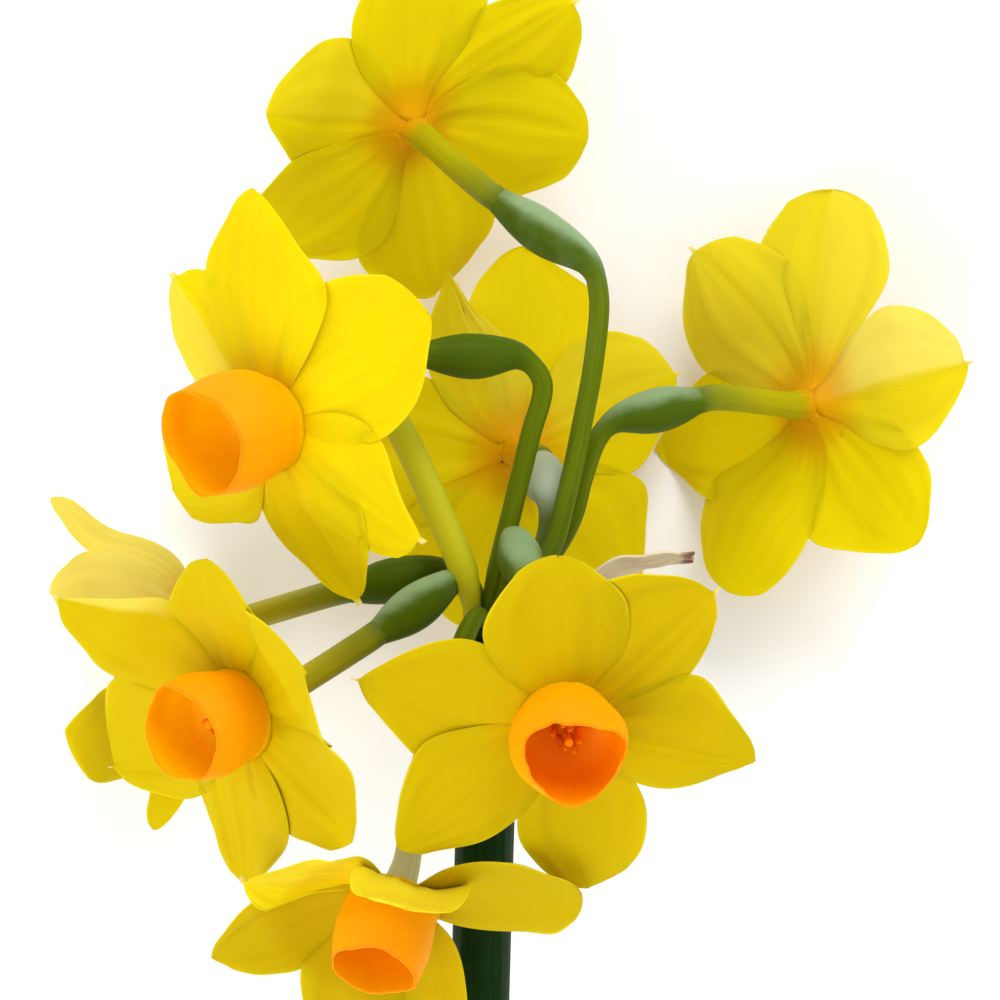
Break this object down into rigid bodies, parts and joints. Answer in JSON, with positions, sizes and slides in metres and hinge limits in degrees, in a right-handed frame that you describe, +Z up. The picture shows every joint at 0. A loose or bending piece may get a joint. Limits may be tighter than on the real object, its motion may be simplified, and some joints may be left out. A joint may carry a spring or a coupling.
{
  "type": "cut daffodil",
  "caption": "Cut cluster-flowered daffodil lying down: a long green stem with open yellow flowers that have orange cups, a bud and the dry papery spathe.",
  "frame": {"origin": "bottom centre of the bounding box, on the surface the flower lies on", "axes": "+Y from the cut end of the stem to the flowers, +Z up, +X to the right"},
  "size_m": [0.1006, 0.2228, 0.064],
  "materials": {
    "tepal": "satin",
    "corona": "satin",
    "stamen": "matt",
    "stalk": "satin",
    "scape": "satin",
    "bud": "satin",
    "spathe": "matt"
  },
  "bodies": {
    "root": {"scape": "scape", "spathe": "spathe", "top_perianth": "tepal", "top_corona": "corona", "top_stamens": "stamen", "top_pedicel": "stalk", "upleft_perianth": "tepal", "upleft_corona": "corona", "upleft_stamens": "stamen", "upleft_pedicel": "stalk", "middle_perianth": "tepal", "middle_corona": "corona", "middle_stamens": "stamen", "middle_pedicel": "stalk", "right_perianth": "tepal", "right_corona": "corona", "right_stamens": "stamen", "right_pedicel": "stalk", "left_perianth": "tepal", "left_corona": "corona", "left_stamens": "stamen", "left_pedicel": "stalk", "front_perianth": "tepal", "front_corona": "corona", "front_stamens": "stamen", "front_pedicel": "stalk", "low_perianth": "tepal", "low_corona": "corona", "low_stamens": "stamen", "low_pedicel": "stalk", "farleft_perianth": "tepal", "farleft_corona": "corona", "farleft_stamens": "stamen", "farleft_pedicel": "stalk", "bud_head": "bud", "bud_pedicel": "stalk"}
  },
  "joints": []
}
